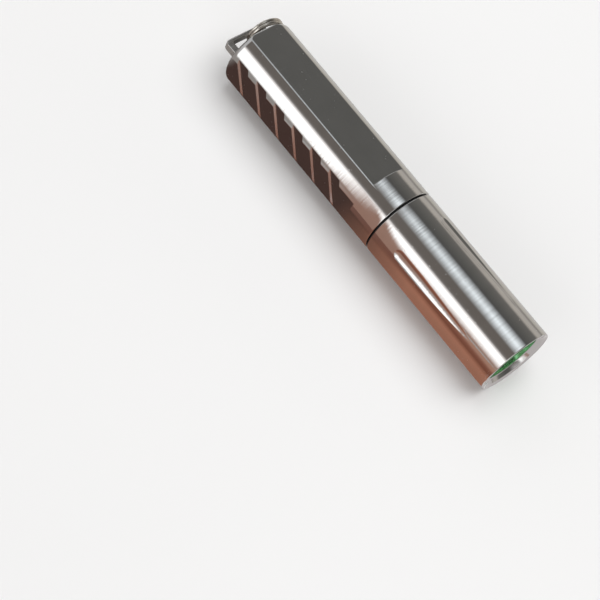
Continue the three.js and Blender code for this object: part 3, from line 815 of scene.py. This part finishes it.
def tail_spring():
    """A wire that winds forward from the tube's floor to the cell and narrows on its way."""
    wire, wide, narrow, turns, steps = 0.5, 9.4, 6.0, 4.5, 40
    clear_selection()
    bpy.ops.mesh.primitive_circle_add(
        vertices=16, radius=wire / 2 * MM, fill_type="NGON",
        location=((BODY_FLOOR + wire / 2) * MM, (wide - wire) / 2 * MM, 0))
    piece = named("spring_wire")
    fix_place()
    bpy.ops.object.mode_set(mode="EDIT")
    bpy.ops.mesh.select_all(action="SELECT")
    count = round(turns * steps)
    rise = (CELL_BACK - BODY_FLOOR - wire) / count * MM
    shrink = (wide - narrow) / 2 / count * MM

    def advance(i):
        angle = 2 * math.pi * i / steps
        return (rise, -shrink * math.cos(angle), -shrink * math.sin(angle))

    wind(count, advance, -2 * math.pi / steps)
    bpy.ops.object.mode_set(mode="OBJECT")
    mend(piece)
    smooth(piece, 60)
    paint(piece, gold)
    settle(piece)
    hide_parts("tail_spring")
    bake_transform(piece)


# Window, reflector and LED

def window():
    back, inner, edge = -2.6, 5.0, 0.12
    outline = [(back, inner), (back, GLASS_RADIUS - edge), (back + edge, GLASS_RADIUS)]
    outline += [(WINDOW_FRONT - edge, GLASS_RADIUS), (WINDOW_FRONT, GLASS_RADIUS - edge)]
    outline += [(WINDOW_FRONT, inner), (WINDOW_FRONT, 0)]
    piece = turned("window_pane", outline, 160)
    close_first_ring(piece)
    smooth(piece, 20)
    even_normals(piece)
    paint(piece, window_glass)
    settle(piece)
    finish_piece(piece, "head", "coated_glass", "window")


def gasket():
    middle, half, inner, outer, soft = -2.85, 0.25, 5.25, GLASS_RADIUS, 0.12
    back, front = middle - half + soft, middle + half - soft
    outline = arc(back, outer - soft, soft, 180, 90, 4)
    outline += arc(front, outer - soft, soft, 90, 0, 4)
    outline += arc(front, inner + soft, soft, 0, -90, 4)
    outline += arc(back, inner + soft, soft, -90, -180, 4)
    outline.append(outline[0])
    piece = turned("gasket_ring", outline, 128)
    smooth(piece, 50)
    paint(piece, rubber)
    settle(piece)
    finish_piece(piece, "head", "black_rubber", "window_gasket")


def mirror_cup():
    """A bowl with a flange. Its inside is a parabola from the LED's hole to the mouth."""
    front, depth, hole, flange = -3.1, 5.0, 1.8, 6.0
    foot, shoulder, collar, wall, edge, lip, steps = 3.1, 3.0, 1.2, 0.35, 0.08, 0.8, 40
    back = front - depth
    mouth = flange - lip
    outline = [(back, hole), (back, foot), (front - shoulder, flange - wall), (front - collar, flange - wall),
               (front - collar, flange), (front - edge, flange), (front, flange - edge)]
    for i in range(steps + 1):
        radius = mouth + (hole - mouth) * i / steps
        share = (radius ** 2 - hole ** 2) / (mouth ** 2 - hole ** 2)
        outline.append((back + depth * share, radius))
    piece = turned("mirror_cup", outline, 160)
    smooth(piece, 25)
    paint(piece, mirror_film)
    settle(piece)
    finish_piece(piece, "head", "mirror_cup", "reflector")


def led():
    """A ceramic base with a sunk face, a phosphor tile on it, and a dome with room for the tile."""
    foot, base, tile, dome = -8.9, 0.7, 0.2, 1.35
    base_half, tile_half, room_half, room_high = 1.725, 0.75, 0.85, 0.3
    start = foot + base
    package = block("led_package", (foot, -base_half, -base_half), (start, base_half, base_half))
    round_edges(package, lambda a, b: abs(a.x - b.x) > 0.3 * MM, 0.12, 3)
    inset_front(package, (0.28, 0), (0.03, -0.05))
    smooth(package, 30)
    paint(package, ceramic)
    settle(package)
    finish_piece(package, "head", "white_ceramic", "led_base")
    chip = block("led_chip", (start, -tile_half, -tile_half), (start + tile, tile_half, tile_half))
    inset_front(chip, (0.06, 0.02))
    smooth(chip, 20)
    paint(chip, phosphor)
    settle(chip)
    finish_piece(chip, "head", "phosphor", "led_tile")
    lens = turned("led_lens", arc(start, 0, dome, 90, 2, 24) + [(start + dome, 0)], 96)
    close_first_ring(lens)
    room = block("room", (start - 1, -room_half, -room_half), (start + room_high, room_half, room_half))
    cut(lens, room)
    smooth(lens, 30)
    paint(lens, silicone)
    settle(lens)
    finish_piece(lens, "head", "silicone", "led_dome")


head()
body()
split_ring()
seal_ring()
tail_spring()
window()
gasket()
mirror_cup()
led()

# Inner pieces that stay as the solids are
inner_finish = {
    "cell_can": cell_sleeve, "cell_positive_cap": nickel, "cell_insulator": white_plastic,
    "cell_negative_plate": nickel, "led_centring_ring": white_plastic, "led_board": board_mask, "pill": brass,
    "retaining_ring": brass, "driver_board": solder_green, "driver_inductor": ferrite,
    "driver_controller": chip_black, "driver_diode": chip_black, "driver_capacitor_in": capacitor_tan,
    "driver_capacitor_out": capacitor_tan, "positive_contact": brass, "contact_washer": white_plastic,
    "wire_positive": red_skin, "wire_negative": black_skin,
}
for name, material in inner_finish.items():
    paint(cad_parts[name], material)


# Studio room

def by_angle(tree, angle, start, end, first, last):
    """From one value to another between two angles in degrees."""
    return ranged(tree, angle, math.radians(start), math.radians(end), first, last)


def band(tree, angle, rise_from, rise_to, fall_from, fall_to):
    """One between two angles, in degrees, with soft edges."""
    rise = by_angle(tree, angle, rise_from, rise_to, 0.0, 1.0)
    fall = by_angle(tree, angle, fall_from, fall_to, 1.0, 0.0)
    return times(tree, rise, fall)


def room_walls(tree, angle):
    """The room round the light's axis, by the angle from straight up: warm and dark, then grey, then pale."""
    share = ranged(tree, angle, -math.pi / 2, math.pi / 2, 0.0, 1.0)
    stops = [
        (-90, (0.15, 0.095, 0.075)), (-57, (0.15, 0.095, 0.075)), (-50, (0.10, 0.093, 0.09)),
        (-44, (0.063, 0.056, 0.051)), (-25, (0.062, 0.055, 0.05)), (20, (0.037, 0.036, 0.035)),
        (35, (0.047, 0.046, 0.043)), (58, (0.064, 0.061, 0.057)), (67, (0.19, 0.175, 0.158)),
        (80, (0.19, 0.178, 0.165)), (88, (0.115, 0.107, 0.098)), (90, (0.115, 0.107, 0.098)),
    ]
    return ramped(tree, share, [((degrees + 90) / 180, colour) for degrees, colour in stops])


def lit_room(tree):
    """The walls with their lamps, by the angle round the light's axis and the share of X in a direction."""
    low_wall, top_lamp, strip_lamp = (0.18, 0.175, 0.172), (0.88, 0.95, 1.0), (0.62, 0.62, 0.62)
    tail_wall, front_lamp = (0.215, 0.213, 0.213), (0.3, 0.3, 0.3)
    along, across, up = parts_of(tree, "Generated")
    angle = worked(tree, "ARCTAN2", across, up)
    head_end = ranged(tree, along, -0.275, -0.245, 0.0, 1.0)
    tail_end = ranged(tree, along, -0.285, -0.255, 1.0, 0.0)
    below = by_angle(tree, angle, -61, -57, 1.0, 0.0)
    room = mixed(tree, times(tree, tail_end, below), room_walls(tree, angle), low_wall)

    reach = times(tree, ranged(tree, along, -0.5, -0.4, 0.0, 1.0), ranged(tree, along, -0.1, 0.1, 1.0, 0.0))
    reach = times(tree, reach, ranged(tree, along, -0.3, -0.14, 0.2, 0.48))
    room = mixed(tree, times(tree, band(tree, angle, -24, -4, 0, 20), reach), room, top_lamp)

    soft_edge = by_angle(tree, angle, -87, -69, 0.0, 1.0)
    crisp_edge = by_angle(tree, angle, -90, -84, 0.0, 1.0)
    lower_edge = worked(tree, "ADD", times(tree, soft_edge, head_end),
                        times(tree, crisp_edge, worked(tree, "SUBTRACT", 1.0, head_end)))
    upper_edge = by_angle(tree, angle, -58, -49, 1.0, 0.0)
    room = mixed(tree, times(tree, lower_edge, upper_edge), room, strip_lamp)

    room = mixed(tree, ranged(tree, along, -0.62, -0.42, 1.0, 0.0), room, tail_wall)
    ahead = times(tree, ranged(tree, along, 0.3, 0.4, 0.0, 1.0), ranged(tree, along, 0.78, 0.86, 1.0, 0.0))
    return mixed(tree, times(tree, band(tree, angle, -88, -75, -20, 2), ahead), room, front_lamp)


def studio_world():
    """A soft room with lamps for the steel, and a plain white ground for the camera and the glass."""
    world = bpy.data.worlds.new("studio")
    bpy.context.scene.world = world
    world.use_nodes = True
    tree = world.node_tree
    room = tree.nodes["Background"]
    feed(tree, lit_room(tree), room, "Color")
    hold(room, Strength=3.0)
    ground = node(tree, "Background")
    hold(ground, Color=(1, 1, 1, 1), Strength=1.0)
    seen = node(tree, "LightPath")
    chosen = node(tree, "MixShader")
    straight = worked(tree, "MAXIMUM", seen.outputs["Is Camera Ray"], seen.outputs["Is Transmission Ray"])
    feed(tree, straight, chosen, "Fac")
    feed(tree, room.outputs["Background"], chosen, 1)
    feed(tree, ground.outputs["Background"], chosen, 2)
    feed(tree, chosen.outputs["Shader"], tree.nodes["World Output"], "Surface")


def floor():
    clear_selection()
    bpy.ops.mesh.primitive_plane_add(size=3, location=(0, 0, -30 * MICRON))
    piece = named("floor")
    material, tree, shader = new_material("pale_floor")
    cloud = noise(tree, cubed(9), 2.0, 0.5)
    feed(tree, mixed(tree, cloud, (0.86, 0.86, 0.86), (0.89, 0.89, 0.89)), shader, "Base Color")
    hold(shader, Roughness=0.8, Specular_IOR_Level=0.0)
    paint(piece, material)


# Cards that only the steel reflects, with places in metres

def glowing_paper(name):
    """A paper with a light of its own that reflects none."""
    material, tree, shader = new_material(name)
    hold(shader, Emission_Strength=1.0, Base_Color=(0, 0, 0, 1), Specular_IOR_Level=0.0)
    return material, tree, shader


def warm_paper():
    """Dark and warm beside the light, lighter farther out, and redder at the head's end."""
    material, tree, shader = glowing_paper("warm_paper")
    dark, warm, pale = (0.085, 0.05, 0.042), (0.22, 0.112, 0.088), (0.56, 0.54, 0.53)
    past_tail = (0.40, 0.37, 0.35)
    x, y, _ = parts_of(tree)
    away = ranged(tree, y, 0.0, -0.1, 0.0, 1.0)
    tail_end = ramped(tree, away, [
        (0.0, dark), (0.165, dark), (0.2, warm), (0.32, warm), (0.4, pale), (1.0, pale)])
    head_end = ramped(tree, away, [
        (0.0, (0.30, 0.13, 0.085)), (0.11, (0.46, 0.21, 0.14)), (0.14, (0.50, 0.22, 0.145)),
        (0.21, (0.25, 0.095, 0.06)), (0.3, (0.30, 0.12, 0.08)), (0.5, (0.50, 0.27, 0.195)),
        (1.0, (0.52, 0.30, 0.22))])
    tail_end = mixed(tree, ranged(tree, x, -0.0765, -0.0745, 1.0, 0.0), tail_end, past_tail)
    both = mixed(tree, ranged(tree, x, -0.042, -0.022, 0.0, 1.0), tail_end, head_end)
    feed(tree, both, shader, "Emission Color")
    return material


def plain_paper():
    """A grey that the far side of the steel reflects, with a painted contact shadow under the light, and
    dimmer far out.
    """
    material, tree, shader = glowing_paper("plain_paper")
    cool, warm = (0.60, 0.585, 0.565), (0.62, 0.585, 0.53)
    dim, shade = (0.36, 0.335, 0.305), (0.10, 0.095, 0.09)
    _, y, _ = parts_of(tree)
    grey = mixed(tree, ranged(tree, y, 0.008, 0.06, 0.0, 1.0), cool, warm)
    grey = mixed(tree, ranged(tree, y, 0.06, 0.25, 0.0, 1.0), grey, dim)
    # Painted contact shadow: the card's glow is darkened right under the light, where the floor would lie in
    # the light's shadow
    grey = mixed(tree, ranged(tree, y, 0.003, 0.012, 1.0, 0.0), grey, shade)
    feed(tree, grey, shader, "Emission Color")
    return material


def clouded_paper(name, scale, low, high):
    """A plain tone with a slight cloud in it."""
    material, tree, shader = glowing_paper(name)
    feed(tree, mixed(tree, noise(tree, cubed(scale), 1.0, 0.5), low, high), shader, "Emission Color")
    return material


def joint_paper():
    """A warm paper that fades out along two slanting edges."""
    material = clouded_paper("joint_paper", 60, (0.38, 0.22, 0.17), (0.46, 0.28, 0.22))
    head_lean, body_lean = 0.844, 0.28
    tree = material.node_tree
    x, _, z = parts_of(tree)
    head_side = worked(tree, "ADD", x, times(tree, z, head_lean))
    body_side = worked(tree, "SUBTRACT", x, times(tree, z, body_lean))
    cover = times(tree, ranged(tree, head_side, -0.0155, -0.0215, 0.0, 1.0),
                  ranged(tree, body_side, -0.056, -0.0438, 0.0, 1.0))
    clear = node(tree, "BsdfTransparent")
    fade = node(tree, "MixShader")
    feed(tree, cover, fade, "Fac")
    feed(tree, clear.outputs["BSDF"], fade, 1)
    feed(tree, tree.nodes["Principled BSDF"].outputs["BSDF"], fade, 2)
    feed(tree, fade.outputs["Shader"], tree.nodes["Material Output"], "Surface")
    return material


def only_reflected(piece, material):
    piece.visible_camera = False
    piece.visible_diffuse = False
    piece.visible_shadow = False
    piece.visible_transmission = False
    paint(piece, material)


def joint_card():
    """A small warm card beside the joint, so that the bright strip narrows there in the steel."""
    width, height, head_cut, body_cut = 0.040, 0.0225, 0.019, 0.0063
    clear_selection()
    bpy.ops.mesh.primitive_plane_add(size=1, location=(-0.038, -0.024, 0.01425), rotation=(math.pi / 2, 0, 0))
    piece = named("joint_card")
    piece.scale = (width, height, 1)
    fix_place()
    move_points(piece, lambda p: p.z > 0.02 and p.x > -0.03, (-head_cut, 0, 0))
    move_points(piece, lambda p: p.z > 0.02 and p.x < -0.042, (body_cut, 0, 0))
    only_reflected(piece, joint_paper())


def floor_card(name, low, high, material):
    """A card that lies just above the floor, between two corners."""
    clear_selection()
    middle = [(a + b) / 2 for a, b in zip(low, high)]
    bpy.ops.mesh.primitive_plane_add(size=1, location=(*middle, 20 * MICRON))
    piece = named(name)
    piece.scale = (high[0] - low[0], high[1] - low[1], 1)
    fix_place()
    only_reflected(piece, material)


# Lamp and camera

def soft_lamp(name, place, size, power):
    clear_selection()
    bpy.ops.object.light_add(type="AREA", location=place)
    lamp = bpy.context.object
    lamp.name = name
    lamp.data.shape = "DISK"
    lamp.data.size = size
    lamp.data.energy = power
    lamp.rotation_euler = (-Vector(place)).to_track_quat("-Z", "Y").to_euler()
    lamp.visible_glossy = False


def camera():
    """The photograph's own angle, fitted to the light's outline, joint line, flat and head rim."""
    clear_selection()
    bpy.ops.object.camera_add()
    shot = bpy.context.object
    right = Vector((0.60823, 0.74622, 0.27058))
    up = Vector((-0.75513, 0.43893, 0.48695))
    back = Vector((0.24461, -0.50050, 0.83047))
    place = Matrix((right, up, back)).transposed().to_4x4()
    place.translation = Vector((49.5, -184.35, 271.26)) * MM
    shot.matrix_world = place
    shot.data.sensor_width = 36.0
    shot.data.lens = 116.514
    shot.data.clip_start = 0.005
    bpy.context.scene.camera = shot


studio_world()
floor()
warm = warm_paper()
floor_card("warm_card", (-0.6, -1.45), (-0.001, -0.0045), warm)
floor_card("warm_card_front", (-0.001, -1.45), (0.12, -0.025), warm)
floor_card("grey_card", (-0.6, -0.004), (-0.001, 1.45), plain_paper())
floor_card("front_card", (0.12, -1.4), (1.4, 1.4),
           clouded_paper("front_paper", 8, (0.36, 0.345, 0.34), (0.44, 0.42, 0.415)))
floor_card("near_front_card", (0.0005, -0.025), (0.12, 0.11),
           clouded_paper("lip_paper", 8, (0.62, 0.585, 0.58), (0.68, 0.64, 0.635)))
joint_card()
soft_lamp("sky_lamp", (0.15, 0.35, 1.3), 1.6, 14.8)
camera()
bpy.context.scene.view_settings.view_transform = "Standard"
